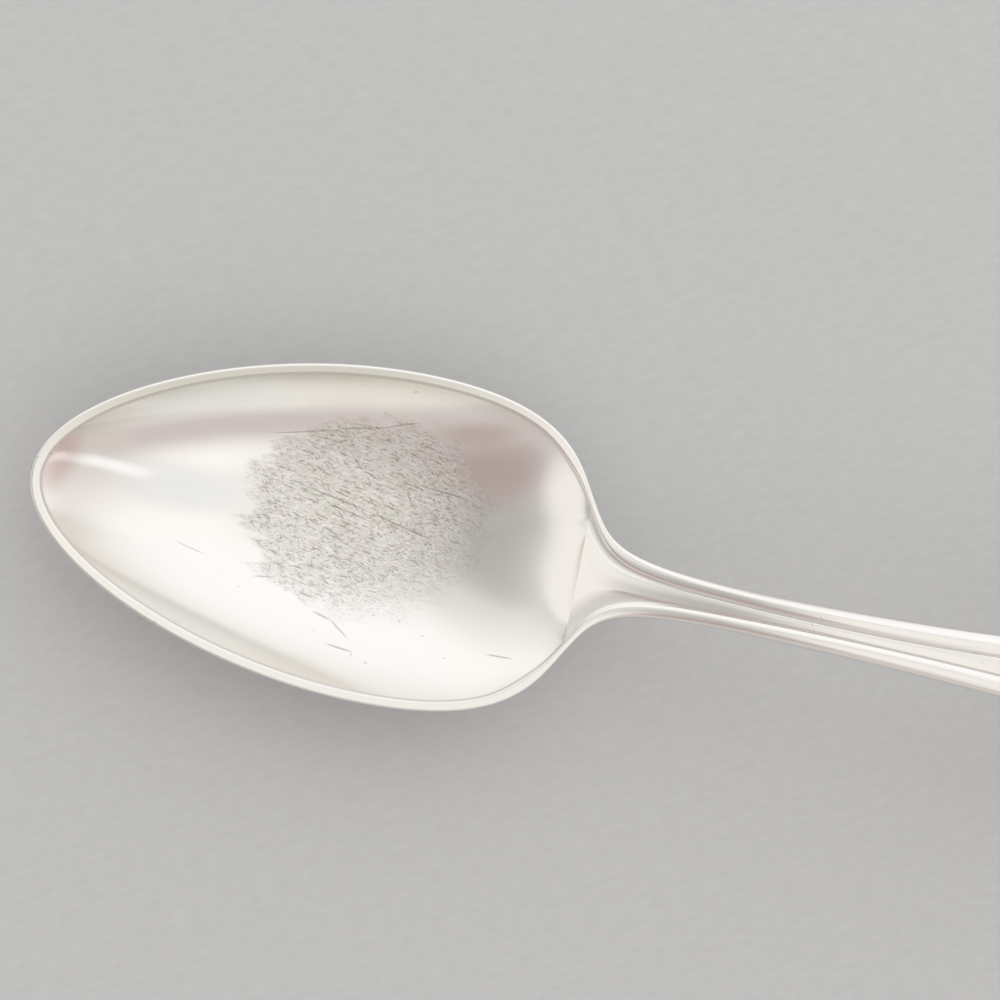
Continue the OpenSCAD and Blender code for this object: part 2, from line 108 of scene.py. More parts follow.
# The arch of the stem, which is steepest at rise_run behind the heel line, and its mouldings.
rise_run, rise_h, crest_at, crest_h, stem_edge_t = 12.0, 3.8, 83.0, 18.5, 1.25
thread_w, thread_h, thread_round, end_thread_w = 1.25, 0.16, 0.36, 2.0
groove_w, groove_depth, edge_round, field_crown = 0.17, 0.12, 0.3, 0.06
# The handle's end, which touches the table a little before its tip.
end_len, touch_inset, end_t, end_edge_t, end_lift = 11.0, 9.5, 1.5, 1.0, 0.5

rim_h = bowl_depth + wall_t
neck_len = neck_end - bowl_len
side_end = spoon_len - end_len
touch_at = spoon_len - touch_inset
print(f"spoon {spoon_len:.1f} mm long, bowl {bowl_len:.1f} x {bowl_w:.1f} mm, highest point {top_h:.2f} mm")

# %% [markdown]
# ## The plan and the side
# Half of the plan is five curves in a row: the bowl's tip, its flank, the shoulder, the stem's side and the
# round end. A number called the turn runs along them, from 0 at the tip to 5 at the handle's end. Points
# read off by hand would give dents, but a curve with two handles stays smooth. From the side, the height of
# the top and the thickness change smoothly between a few stations, as a flexed rule does.

# %% Plan curves
flank_run = bowl_len - widest_at
side_run = side_end - neck_end
shoulder_slope = 1.7


def curve(start, end, leave, arrive):
    """Four points of a curve: from start to end, with handles leave and arrive."""
    start, end = Vector(start), Vector(end)
    return start, start + Vector(leave), end - Vector(arrive), end


# Each handle is a share of the curve's own run, so the plan keeps its form when a size changes.
plan = [
    curve((0, 0), (widest_at, bowl_w / 2), (0, 0.5 * bowl_w / 2), (0.47 * widest_at, 0)),
    curve(
        (widest_at, bowl_w / 2), (bowl_len, shoulder_w / 2),
        (0.79 * flank_run, 0), (0.1 * flank_run, -0.1 * flank_run * shoulder_slope),
    ),
    curve(
        (bowl_len, shoulder_w / 2), (neck_end, neck_w / 2),
        (0.15 * neck_len, -0.15 * neck_len * shoulder_slope), (0.82 * neck_len, 0),
    ),
    curve((neck_end, neck_w / 2), (side_end, end_w / 2), (0.47 * side_run, 0), (0.19 * side_run, 0)),
    curve((side_end, end_w / 2), (spoon_len, 0), (0.5 * end_len, 0), (0, -0.52 * end_w / 2)),
]
# Turns at which the heel line lies, the neck ends, the stem's node ends, and the handle ends.
HEEL, NECK, STEM, END = 2, 3, 3.72, 5


def outline(turn):
    """The plan's point and its direction of travel at a turn."""
    i = min(int(turn), len(plan) - 1)
    t = turn - i
    a, b, c, d = plan[i]
    point = a * (1 - t) ** 3 + b * 3 * t * (1 - t) ** 2 + c * 3 * t * t * (1 - t) + d * t**3
    ahead = (b - a) * (1 - t) ** 2 + (c - b) * 2 * t * (1 - t) + (d - c) * t * t
    return point, ahead.normalized()


stem_end = outline(STEM)[0].x
print(f"the stem ends at {stem_end:.2f} mm, where it is {2 * outline(STEM)[0].y:.2f} mm wide")

# %% Stations along the spoon: place, value and slope
deck_stations = [
    (0, rim_h + tip_lift, -0.11),
    (deepest_at, rim_h, 0),
    (bowl_len, rim_h + heel_lift, 0.16),
    (bowl_len + rise_run, rim_h + heel_lift + rise_h, 0.41),
    (crest_at, crest_h, 0),
    (touch_at, end_t, -0.05),
    (spoon_len, end_t + end_lift, 0.08),
]
middle_stations = [
    (bowl_len, heel_t, 0),
    (neck_end, neck_t, 0),
    (touch_at, end_t, 0),
    (spoon_len, end_t, 0),
]
edge_stations = [
    (0, rim_t, 0),
    (bowl_len, rim_t, 0),
    (neck_end, stem_edge_t, 0),
    (touch_at, end_edge_t, 0),
    (spoon_len, end_edge_t, 0),
]
thread_stations = [(bowl_len, thread_w, 0), (neck_end, thread_w, 0.025), (side_end, end_thread_w, 0)]


def rail(stations, x):
    """The value at a place, from the two stations beside it."""
    if x >= stations[-1][0]:
        return stations[-1][1]
    i = max(1, bisect.bisect_right([station[0] for station in stations], x))
    (x0, value0, slope0), (x1, value1, slope1) = stations[i - 1], stations[i]
    run = x1 - x0
    s = (x - x0) / run
    ends = value0 * (1 + 2 * s) * (1 - s) ** 2 + value1 * s * s * (3 - 2 * s)
    return ends + run * (slope0 * s * (1 - s) ** 2 - slope1 * s * s * (1 - s))


def deck(x):
    """Height of the spoon's top at a place."""
    return rail(deck_stations, x)


# The outer edge takes this share of the thickness there. The back's curve lies between an ellipse, at a
# power of 0.5, and a shallow dish, at 1.
EDGE_SHARE, BACK_POWER = 0.75, 0.6


def edge_low(x):
    """How far under the top the outer edge ends and the back begins."""
    return EDGE_SHARE * rail(edge_stations, x)


def belly(x, half, y):
    """Thickness from the top to the back, for a section of that half width."""
    low = edge_low(x)
    return low + (rail(middle_stations, x) - low) * max(0.0, 1 - (y / half) ** 2) ** BACK_POWER


print("heights of the top:", [round(deck(station[0]), 2) for station in deck_stations])

# %% [markdown]
# ## Across the edge
# From the outside inwards the die leaves a rounded edge, then a flat rim on the bowl or a thread on the
# stem, then a lip, a groove and the plain field. At the neck the groove opens into the two corners of the
# hollow. These are fractions of a millimetre, and bevels could round them, but each one draws a bright or
# dark line of its own width, so each has its own formula.

# %% Profiles across the edge
# Shares of the border's width: where the rim's and the thread's rounding end, and where the lip starts.
RIM_ROUND, THREAD_ROUND, LIP_START = 0.35, 0.55, 0.7
groove_lip = 0.3 * groove_w


def neck_share(x):
    """How far along the neck a place is, from 0 at the heel line to 1."""
    return min(1.0, max(0.0, (x - bowl_len) / neck_len))


def lip_fall(x):
    """Fall of the lip inside the rim or the thread."""
    return rim_bevel + (groove_lip - rim_bevel) * neck_share(x)


def round_depth(x):
    """Fall of the rounded outer edge, which is softer on the thread than on the rim."""
    return edge_round + (thread_round - edge_round) * neck_share(x)


def border_height(x, t):
    """Height over the deck, from the outer edge (t = 0) to the inner line (t = 1)."""
    rim_fall = edge_round * (1 - math.sqrt(1 - max(0.0, 1 - t / RIM_ROUND) ** 2))
    thread_fall = thread_round * max(0.0, 1 - t / THREAD_ROUND) ** 2
    round_fall = rim_fall + (thread_fall - rim_fall) * neck_share(x)
    rise = thread_h * neck_share(x) * (1 - (2 * t - 1) ** 2)
    lip = lip_fall(x) * max(0.0, (t - LIP_START) / (1 - LIP_START)) ** 2
    return rise - round_fall - lip


def corner_width(x):
    """Width from the thread's inner line to the plain field."""
    return groove_w + (corner_w - groove_w) * (1 - neck_share(x)) ** 4


def face_offset(x):
    """How far the flat face lies to one side, as on the real one, where it was finished by hand."""
    return face_shift * max(0.0, 1 - (x - bowl_len) / face_run) ** 1.5


def corner_height(x, t):
    """Height over the deck across the groove, or across the hollow's corner, whose sides are soft."""
    share = neck_share(x)
    depth = groove_depth + (corner_depth - groove_depth) * (1 - share) ** 2
    sides = -lip_fall(x) * (1 - t) - field_crown * t
    soft, crisp = math.sin(math.pi * t) ** 2, 1 - (2 * t - 1) ** 2
    return sides - depth * (soft + (crisp - soft) * min(1.0, 5 * share))


# Steps of the grid across each part of a section.
BORDER, GROOVE, FIELD, EDGE, BACK = 14, 8, 16, 4, 48
HALF_TOP = BORDER + GROOVE + FIELD


def top_point(x, half, step):
    """A point of a section's top. step runs from 0 at the +Y edge to 2 * HALF_TOP at the -Y edge."""
    side = 1 if step <= HALF_TOP else -1
    step = min(step, 2 * HALF_TOP - step)
    border, corner, offset = rail(thread_stations, x), corner_width(x), face_offset(x)
    field = half - border - corner
    if step <= BORDER:
        t = step / BORDER
        return Vector((x, side * (half - border * t), deck(x) + border_height(x, t)))
    if step <= BORDER + GROOVE:
        t = (step - BORDER) / GROOVE
        y = side * (half - border - corner * t) + offset * t
        return Vector((x, y, deck(x) + corner_height(x, t)))
    f = (HALF_TOP - step) / FIELD
    return Vector((x, side * field * f + offset, deck(x) - field_crown * f * f))


def keel(depth, half, y):
    """Extra thickness of the tongue under a section, within that half width."""
    return depth * (1 - min(1.0, abs(y) / half) ** 4)


def field_half(x, half):
    """Half width of the plain field, which the tongue under it shares."""
    return half - rail(thread_stations, x) - corner_width(x)


def back_point(x, half, step, depth=0.0):
    """A point of a section's back. step runs from 0 at the +Y edge to BACK, closer at the edges."""
    y = half * math.cos(math.pi * step / BACK)
    z = deck(x) - belly(x, half, y)
    if depth:
        z -= keel(depth, field_half(x, half), y)
    return Vector((x, y, max(0.0, z)))


print(f"lines across a section: {2 * HALF_TOP} on top, {BACK} on the back, {EDGE} down each edge")

# %% [markdown]
# ## How a skin is made
# Each skin starts as a flat grid whose points are then moved onto the drawing. A grid gives neat rows of
# four-sided faces, which is what a polished surface needs: stray triangles would show as dents in the
# reflection. The skins of a piece are merged along their shared lines and its open ends are closed with flat
# faces. Three numbers are kept with each point for the finish: how much tarnish lies there, how much painted
# reflection, and whether the metal gets scraped in use.

# %% Grid helper
# In millimetres: points nearer than the first are one, and edges shorter than the second go.
MERGE, SLIVER = 0.0005, 0.0001


def add_skin(bm, columns, rows, where, tarnish=None, painted_reflection_share=None, used=0.0):
    """Adds a grid and moves its points to where(u, v), in millimetres. used is 1 where metal is scraped."""
    layers = bm.verts.layers.float
    tarnish_layer = layers.get("tarnish") or layers.new("tarnish")
    painted_reflection_layer = layers.get("painted_reflection_share") or layers.new("painted_reflection_share")
    used_layer = layers.get("used") or layers.new("used")
    grid = bmesh.ops.create_grid(bm, x_segments=columns, y_segments=rows, size=0.5)
    for vert in grid["verts"]:
        u, v = vert.co.x + 0.5, vert.co.y + 0.5
        vert.co = where(u, v)
        if tarnish:
            vert[tarnish_layer] = tarnish(u, v)
        if painted_reflection_share:
            vert[painted_reflection_layer] = painted_reflection_share(u, v)
        vert[used_layer] = used


def closed_piece(bm):
    """Merges the skins, closes the open ends, and keeps every point in the box and every face outwards."""
    bmesh.ops.remove_doubles(bm, verts=bm.verts, dist=MERGE)
    bmesh.ops.dissolve_degenerate(bm, edges=bm.edges, dist=SLIVER)
    open_edges = [edge for edge in bm.edges if edge.is_boundary]
    if open_edges:
        bmesh.ops.holes_fill(bm, edges=open_edges, sides=0)
    bmesh.ops.recalc_face_normals(bm, faces=bm.faces)
    bmesh.ops.transform(bm, matrix=TO_FRAME, verts=bm.verts)
    for vert in bm.verts:
        for axis in range(3):
            vert.co[axis] = min(max(vert.co[axis], cad_low[axis]), cad_high[axis])
    return bm


shapes = {}
print("helpers ready")

# %% [markdown]
# ## The bowl
# The hollow is deepest nearer to the heel than to the tip, and its wall steepens towards the rim. A product
# of two curves, one along the bowl and one across it, gives that without a ridge. The skin's lines follow
# the outline and close on the deepest point, so the rim's thin bands stay even all the way round.

# %% The bowl's plan lines
TIP_STEPS, FLANK_STEPS, LINE_STEPS = 130, 60, 600
PATH = 2 * (TIP_STEPS + FLANK_STEPS)
# The lines turn over this share of the way to a seam. This share of the wall's rise is a plain dish.
TURN_SHARE, DISH_SHARE = 0.35, 0.78


def path_turn(u):
    """Turn and side of a column of the bowl's path: heel line, +Y flank, tip, -Y flank, heel line."""
    steps = abs(1 - 2 * u) * (TIP_STEPS + FLANK_STEPS)
    side = 1 if u <= 0.5 else -1
    if steps <= TIP_STEPS:
        return steps / TIP_STEPS, side
    return min(HEEL, 1 + (steps - TIP_STEPS) / FLANK_STEPS), side


def smooth(s):
    """A share from 0 to 1 that starts and ends gently."""
    s = min(1.0, max(0.0, s))
    return s * s * (3 - 2 * s)


def border_plan(turn, t, seam, run, wide):
    """A point of the rim or thread in plan. Near the seam its lines turn to run along the seam."""
    point, ahead = outline(turn)
    s = smooth(1 - abs(point.x - seam) / run)
    inward = Vector((ahead.y, -ahead.x)) * (1 - s) + Vector((0, -1)) * s
    return point + inward.normalized() * wide(point.x, s) * t


def bowl_border(turn, t):
    """The same on the bowl, whose rim widens to the thread's width at the seam."""
    run = TURN_SHARE * flank_run
    return border_plan(turn, t, bowl_len, run, lambda x, s: rim_w + (thread_w - rim_w) * s)


fine_turns = [HEEL * i / LINE_STEPS for i in range(LINE_STEPS + 1)]
rim_line = [bowl_border(turn, 1) for turn in fine_turns]
edge_line = [bowl_border(turn, 0) for turn in fine_turns]


def half_width(line, x):
    """Half width of the bowl at a place, inside its rim or over its edge."""
    i = min(max(1, bisect.bisect_left(line, x, key=lambda p: p.x)), len(line) - 1)
    a, b = line[i - 1], line[i]
    s = min(1.0, max(0.0, (x - a.x) / max(b.x - a.x, 1e-9)))
    return a.y + (b.y - a.y) * s


def hollow(r):
    """Share of the rise from the deepest place to the edge."""
    return DISH_SHARE * r * r + (1 - DISH_SHARE) * r**4


def dished(x, y, edge_z, depth, line, heel_end):
    """A height in the bowl, which shrinks towards the tip, the heel and both sides."""
    end = line[0].x if x < deepest_at else heel_end
    u = min(1.0, (x - deepest_at) / (end - deepest_at))
    v = min(1.0, abs(y) / max(half_width(line, x), rim_bevel))
    return edge_z - depth * (1 - hollow(u)) * (1 - hollow(v))


def inside_z(x, y):
    """Height of the hollow. Its curve runs past the heel line, where the neck's flat face cuts it off."""
    return dished(x, y, deck(x) - rim_bevel, bowl_depth - rim_bevel, rim_line, bowl_len + corner_run)


def outside_z(x, y):
    """Height of the bowl's back."""
    depth = rim_h - edge_low(deepest_at) + worn_flat
    return dished(x, y, deck(x) - edge_low(x), depth, edge_line, bowl_len)


print(f"hollow's deepest height {inside_z(deepest_at, 0):.2f} mm, rim {rim_h:.2f} mm")

# %% The bowl's skins
SEAM_TOP = 2 * (GROOVE + FIELD)
HOLLOW_RINGS, BACK_RINGS = 80, 50
HEEL_HALF = shoulder_w / 2


def rim_skin(u, v):
    """The rim, from its outer edge (v = 0) to its inner line."""
    turn, side = path_turn(u)
    point = bowl_border(turn, v)
    return Vector((point.x, side * point.y, deck(point.x) + border_height(point.x, v)))


def edge_skin(u, v):
    """The outer edge, from under the rim down to the back."""
    turn, side = path_turn(u)
    point = outline(turn)[0]
    z = deck(point.x) - edge_round + (edge_round - edge_low(point.x)) * v
    return Vector((point.x, side * point.y, z))


def hollow_loop(u):
    """The loop round the hollow: the rim's inner line, then the heel line from -Y to +Y."""
    step = u * (PATH + SEAM_TOP)
    if step <= PATH:
        return rim_skin(step / PATH, 1)
    return top_point(bowl_len, HEEL_HALF, 2 * HALF_TOP - BORDER - (step - PATH))


def back_loop(u):
    """The loop round the back: the lower edge line, then the heel line."""
    step = u * (PATH + BACK)
    if step <= PATH:
        return edge_skin(step / PATH, 1)
    return back_point(bowl_len, HEEL_HALF, BACK - (step - PATH))


def ring_point(edge, v, height, lift):
    """A point on a ring between the loop (v = 0) and the deepest place (v = 1), raised by lift(r).

    The power crowds the rings at the loop, where the curve is tightest.
    """
    r = 1 - v**1.4
    x, y = deepest_at + (edge.x - deepest_at) * r, edge.y * r
    return Vector((x, y, max(0.0, height(x, y) + lift(r))))


def hollow_skin(u, v):
    """At the heel line the hollow rises to the face: a broad swell, and the rest in a narrow crease."""
    edge = hollow_loop(u)
    lift = edge.z - inside_z(edge.x, edge.y)
    q = min(1.0, abs(edge.y) / (HEEL_HALF - thread_w))
    swell = heel_swell * (1 - q * q) ** 2
    return ring_point(edge, v, inside_z, lambda r: swell * r**6 + (lift - swell) * r**30)


def back_skin(u, v):
    """The back, which thickens into the neck at the heel line."""
    edge = back_loop(u)
    lift = edge.z - outside_z(edge.x, edge.y)
    return ring_point(edge, v, outside_z, lambda r: lift * r**4)


print("lines round the bowl:", PATH, "on the rim and", SEAM_TOP, "at the heel line")

# %% Tarnish and painted reflection on the bowl
# How far they reach, as shares of the rim's width and of the way down to the deepest place.
LIP_LINE, BRIGHT_EDGE, TARNISH_REACH, PAINTED_REFLECTION_REACH = 0.2, 0.2, 0.03, 0.24


def at_rim(u):
    """Whether a column of the hollow starts at the rim. The others start at the heel line."""
    return u * (PATH + SEAM_TOP) <= PATH


def lip_tarnish(u, v):
    """Tarnish stays in the line where the rim meets the hollow."""
    return smooth(1 - (1 - v) / LIP_LINE)


def hollow_tarnish(u, v):
    """The same line seen from the hollow. The heel line is sharp, so it stays clean."""
    return smooth(1 - v / TARNISH_REACH) if at_rim(u) else 0.0


def rim_painted_reflection(u, v):
    """The rounded edge keeps its own bright reflection. On the flat of the rim a greyer reflection is
    painted.
    """
    return smooth((v - BRIGHT_EDGE) / BRIGHT_EDGE)


def hollow_painted_reflection(u, v):
    """The same painted reflection runs down from the rim into the hollow and fades."""
    return smooth(1 - v / PAINTED_REFLECTION_REACH) if at_rim(u) else 0.0


bowl = bmesh.new()
add_skin(bowl, PATH, BORDER, rim_skin, lip_tarnish, rim_painted_reflection)
add_skin(bowl, PATH, EDGE, edge_skin)
add_skin(bowl, PATH + SEAM_TOP, HOLLOW_RINGS, hollow_skin, hollow_tarnish, hollow_painted_reflection, 1.0)
add_skin(bowl, PATH + BACK, BACK_RINGS, back_skin)
shapes["bowl"] = closed_piece(bowl)
print("bowl:", len(bowl.verts), "points,", len(bowl.faces), "faces")

# %% [markdown]
# ## The neck and the stem
# Both are one long skin wrapped round the section: across the top, down one edge, along the back and up the
# other edge. The neck keeps the flat face behind the heel line, the two corners of the hollow that run out
# beside it, and the tongue's end under it. The stem carries the thread, the groove and the plain field.

# %% Neck and stem
ROUND = 2 * HALF_TOP + EDGE + BACK + EDGE
NECK_ROWS, STEM_ROWS = 90, 120


def section_point(x, half, step, depth):
    """A point of the wrapped section, counted from the +Y edge across the top and back under it."""
    if step <= 2 * HALF_TOP:
        return top_point(x, half, step)
    step -= 2 * HALF_TOP
    wall = edge_low(x) - round_depth(x)
    if step <= EDGE:
        return Vector((x, -half, deck(x) - round_depth(x) - wall * step / EDGE))
    step -= EDGE
    if step <= BACK:
        return back_point(x, half, BACK - step, depth)
    step -= BACK
    return Vector((x, half, deck(x) - edge_low(x) + wall * step / EDGE))


def wrapped_skin(first, last, drop):
    """The skin between two turns. drop is the tongue's thickness at the heel line."""
    def where(u, v):
        point = outline(first + (last - first) * v)[0]
        depth = drop * (1 - neck_share(point.x)) ** 2
        return section_point(point.x, point.y, round(u * ROUND), depth)
    return where


def groove_tarnish(u, v):
    """Tarnish stays in the grooves and in the corners of the hollow."""
    step = u * ROUND
    step = min(step, 2 * HALF_TOP - step)
    return smooth(1 - abs(step - BORDER - GROOVE / 2) / (GROOVE / 2 + 1))


neck = bmesh.new()
add_skin(neck, ROUND, NECK_ROWS, wrapped_skin(HEEL, NECK, drop_t), groove_tarnish)
shapes["neck"] = closed_piece(neck)

stem = bmesh.new()
add_skin(stem, ROUND, STEM_ROWS, wrapped_skin(NECK, STEM, 0), groove_tarnish)
shapes["stem"] = closed_piece(stem)
print("neck:", len(neck.faces), "faces, stem:", len(stem.faces), "faces")

# %% [markdown]
# ## The handle's end
# The thread runs round the end, so its lines follow the outline as the rim's do, and rings close the plain
# field inside it. The back has rows across it that shrink to a point at the end.

# %% Handle end
FLARE_STEPS, END_STEPS, FIELD_RINGS = 50, 60, 40
END_HALF = FLARE_STEPS + END_STEPS
END_PATH = 2 * END_HALF
STEM_POINT = outline(STEM)[0]
MIDDLE = (stem_end + spoon_len) / 2


def end_turn(steps):
    """Turn at a number of steps from the seam towards the end."""
    if steps <= FLARE_STEPS:
        return STEM + (4 - STEM) * steps / FLARE_STEPS
    return min(END, 4 + (steps - FLARE_STEPS) / END_STEPS)


def end_plan(u, inset):
    """A point of the end's plan, some way inwards, for columns from the -Y seam round to the +Y seam."""
    steps = END_HALF - abs(2 * u - 1) * END_HALF
    side = -1 if u <= 0.5 else 1
    run = TURN_SHARE * (side_end - stem_end)
    point = border_plan(end_turn(steps), 1, stem_end, run, lambda x, s: inset(x))
    return point, side


def end_thread_skin(u, v):
    """The thread, from the outer edge (v = 0) to its inner line."""
    point, side = end_plan(u, lambda x: rail(thread_stations, x) * v)
    return Vector((point.x, side * point.y, deck(point.x) + border_height(point.x, v)))


def end_groove_skin(u, v):
    """The groove, from the thread's inner line to the plain field."""
    point, side = end_plan(u, lambda x: rail(thread_stations, x) + groove_w * v)
    return Vector((point.x, side * point.y, deck(point.x) + corner_height(point.x, v)))


def end_edge_skin(u, v):
    """The outer edge, down to the back."""
    point, side = end_plan(u, lambda x: 0)
    wall = edge_low(point.x) - round_depth(point.x)
    return Vector((point.x, side * point.y, deck(point.x) - round_depth(point.x) - wall * v))


def end_loop(u):
    """The loop round the plain field: the groove's inner line, then the seam from +Y to -Y."""
    step = u * (END_PATH + 2 * FIELD)
    if step <= END_PATH:
        return end_groove_skin(step / END_PATH, 1)
    return top_point(stem_end, STEM_POINT.y, BORDER + GROOVE + (step - END_PATH))


def end_field_skin(u, v):
    """The plain field, in rings that close on its middle."""
    edge = end_loop(u)
    r = 1 - v
    x = MIDDLE + (edge.x - MIDDLE) * r
    return Vector((x, edge.y * r, deck(x) + (edge.z - deck(edge.x)) * r * r))


def end_back_skin(u, v):
    """Rows across the back, thinned towards the end."""
    point = outline(end_turn(v * END_HALF))[0]
    x, half = point.x, max(point.y, 1e-6)
    y = half * math.cos(math.pi * u)
    thin = max(0.0, 1 - max(0.0, (x - side_end) / end_len) ** 2) ** BACK_POWER
    low = edge_low(x)
    return Vector((x, y, max(0.0, deck(x) - low - (belly(x, half, y) - low) * thin)))


handle_end = bmesh.new()
add_skin(handle_end, END_PATH, BORDER, end_thread_skin)
add_skin(handle_end, END_PATH, GROOVE, end_groove_skin, lambda u, v: smooth(1 - abs(2 * v - 1)))
add_skin(handle_end, END_PATH, EDGE, end_edge_skin)
add_skin(handle_end, END_PATH + 2 * FIELD, FIELD_RINGS, end_field_skin)
add_skin(handle_end, BACK, END_HALF, end_back_skin)
shapes["handle_end"] = closed_piece(handle_end)
print("handle end:", len(handle_end.faces), "faces")

# %% [markdown]
# ## The drop
# On the back, the stem's thickness runs onto the bowl as a tongue that silversmiths call the drop. It
# stiffens the joint of bowl and stem. It is a lens with a rounded edge, made of two skins, and it fades into
# the neck at the heel line.

# %% Drop
DROP_ROWS, DROP_COLUMNS = 60, 40
# The first row has a little length, so it isn't a point. The end grows from this share of the full width.
FIRST_ROW, END_SHARE = 0.03, 0.65


def heel_share(x):
    """How far a place in the bowl lies from the deepest place towards the heel line."""
    return max(0.0, (x - deepest_at) / (bowl_len - deepest_at))


def back_z(x, y):
    """Height of the bowl's back near the heel, where it thickens into the neck."""
    r = heel_share(x)
    extra = belly(bowl_len, HEEL_HALF, min(HEEL_HALF, abs(y) / r)) - edge_low(bowl_len)
    return outside_z(x, y) - extra * r**4


def drop_row(v):
    """Place, half width and thickness of the tongue, from its end (v = 0) to the heel line."""
    p = FIRST_ROW + (1 - FIRST_ROW) * v**1.5
    half = field_half(bowl_len, HEEL_HALF) * (END_SHARE + (1 - END_SHARE) * p) * math.sqrt(1 - (1 - p) ** 3)
    return bowl_len - drop_len * (1 - p), half, drop_step + (drop_t - drop_step) * p**1.5


def drop_under_skin(u, v):
    """The tongue's face: a crowned middle and a rounded edge that becomes the neck's own section."""
    x, half, thick = drop_row(v)
    f = math.cos(math.pi * u)
    edge = math.sqrt(max(0.0, 1 - f**12)) * (1 - v**8) + (1 - f**4) * v**8
    depth = (thick - drop_step) * (1 - f**4) + drop_step * edge
    return Vector((x, half * f, back_z(x, half * f) - depth * min(1.0, 8 * v + 0.02)))


def drop_seat_skin(u, v):
    """The side that sits in the bowl's metal, out of sight."""
    x, half, thick = drop_row(v)
    f = math.cos(math.pi * u)
    sunk = 0.3 * drop_step * (1 - f * f) * min(1.0, 8 * v)
    return Vector((x, half * f, back_z(x, half * f) + sunk))


drop = bmesh.new()
add_skin(drop, DROP_COLUMNS, DROP_ROWS, drop_under_skin)
add_skin(drop, DROP_COLUMNS, DROP_ROWS, drop_seat_skin)
shapes["heel_drop"] = closed_piece(drop)
print("drop:", len(drop.faces), "faces")

# %% [markdown]
# ## One spoon for the eye
# The real spoon has no joints, so light must not catch at the flat seams between the pieces. Where two
# pieces meet, the normals of both are added up and given to both, and the shading runs on as over one piece
# of metal. At the heel line the hollow's wall meets the flat face in a sharp crease, so normals that differ
# by more than a limit are kept apart there.

# %% Shared normals and the finished objects
SEAMS = [TO_FRAME @ Vector((x, 0, 0)) for x in (bowl_len, neck_end, stem_end)]
# A point within a micrometre of a seam lies on it, and points in one cell of 5 micrometres are the same.
ON_SEAM, CELLS_PER_METRE = 1e-6, 2e5
SHARP = math.radians(22)


def seam_key(point):
    """A name for a point that lies on a seam, or None."""
    on_seam = any(abs(point.x - seam.x) < ON_SEAM for seam in SEAMS)
    return tuple(round(c * CELLS_PER_METRE) for c in point) if on_seam else None


def is_cap(face):
    """The flat faces that close a piece lie wholly in a seam's plane."""
    return all(seam_key(vert.co) for vert in face.verts)


seam_normals = {}
for node, bm in shapes.items():
    bm.normal_update()
    for face in bm.faces:
        if not is_cap(face):
            for vert in face.verts:
                key = seam_key(vert.co)
                if key:
                    sides = seam_normals.setdefault(key, {})
                    sides[node] = sides.get(node, Vector((0, 0, 0))) + face.normal * face.calc_area()


def seam_normal(node, point):
    """The normal at a seam: that of both pieces, or a piece's own where a crease runs along the seam."""
    sides = seam_normals.get(seam_key(point))
    if not sides or node not in sides:
        return None
    own = sides[node]
    near = [side for side in sides.values() if side.length and own.length and side.angle(own) < SHARP]
    return sum(near, Vector((0, 0, 0))).normalized() if near else None


def finished(node, bm):
    """Makes the object for a node, smooth all over, with the shared normals at its seams."""
    mesh = bpy.data.meshes.new(f"silver_{node}")
    bm.to_mesh(mesh)
    mesh.shade_smooth()
    normals = [seam_normal(node, vert.co) or vert.normal for vert in mesh.vertices]
    mesh.normals_split_custom_set_from_vertices(normals)
    bm.free()
    piece = bpy.data.objects.new(f"silver_{node}", mesh)
    bpy.context.scene.collection.objects.link(piece)
    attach(piece, "root")
    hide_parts(node)
    return piece


pieces = {node: finished(node, bm) for node, bm in shapes.items()}
print({node: len(piece.data.polygons) for node, piece in pieces.items()}, len(seam_normals), "seam points")

# %% [markdown]
# ## Silver plate
# The metal is silver, plated on and polished, so it has almost no colour of its own and shows what stands
# round it. Years of use left their marks: hairlines from washing, a worn patch in the bottom of the hollow
# where the spoon scrapes the cup, nicks and long scratches, and tarnish in the lines that no cloth reaches.
# Some light is painted on as well: a greyer reflection along the rim, a pinker one inside the tip, and
# painted shade, highlights and pinker reflections in the worn patch. All of them are patterns in millimetres
# on the metal, so they stay in place when the spoon turns.

# %% Colours and nodes
MATH, RANGE, MIX = "ShaderNodeMath", "ShaderNodeMapRange", "ShaderNodeMix"
VECTOR, MAPPING, NOISE = "ShaderNodeVectorMath", "ShaderNodeMapping", "ShaderNodeTexNoise"
CELLS, MARK, BUMP = "ShaderNodeTexVoronoi", "ShaderNodeAttribute", "ShaderNodeBump"


def linear(hex_colour):
    """An sRGB hex colour as the linear numbers that shaders take."""
    channels = [int(hex_colour[i:i + 2], 16) / 255 for i in (1, 3, 5)]
    return [c / 12.92 if c <= 0.04045 else ((c + 0.055) / 1.055) ** 2.4 for c in channels] + [1.0]


def add_node(tree, kind, settings=None, **links):
    """Adds a node. settings are its properties and socket values, links join its inputs to other nodes.

    A name made of digits is an input's place in the list, because some inputs share a name: "1" in settings
    and i1 in links are the second input.
    """
    node = tree.nodes.new(kind)
    for name, value in (settings or {}).items():
        if hasattr(node, name):
            setattr(node, name, value)
        else:
            node.inputs[int(name) if name.isdigit() else name].default_value = value
    for name, source in links.items():
        socket = node.inputs[int(name[1:]) if name[1:].isdigit() else name.replace("_", " ")]
        tree.links.new(source.outputs[0] if isinstance(source, bpy.types.Node) else source, socket)
    return node


def new_material(name):
    """An empty node material and its shader."""
    material = bpy.data.materials.new(name)
    material.use_nodes = True
    return material, material.node_tree, material.node_tree.nodes["Principled BSDF"]


silver, tree, shader = new_material("silver plate, polished and worn")
place = add_node(tree, "ShaderNodeTexCoord").outputs["Object"]
place_mm = add_node(tree, VECTOR, {"operation": "SCALE", "Scale": 1 / MM}, i0=place)
print("silver's patterns read the place on the spoon in millimetres")

# %% Clouds and marks
# FLAT is so high that an ellipse reaches through the whole thickness. SOFT_EDGE is 1 inside and 0 outside.
FLAT = 1e6
SOFT_EDGE = {"interpolation_type": "SMOOTHSTEP", "To Min": 1.0, "To Max": 0.0}


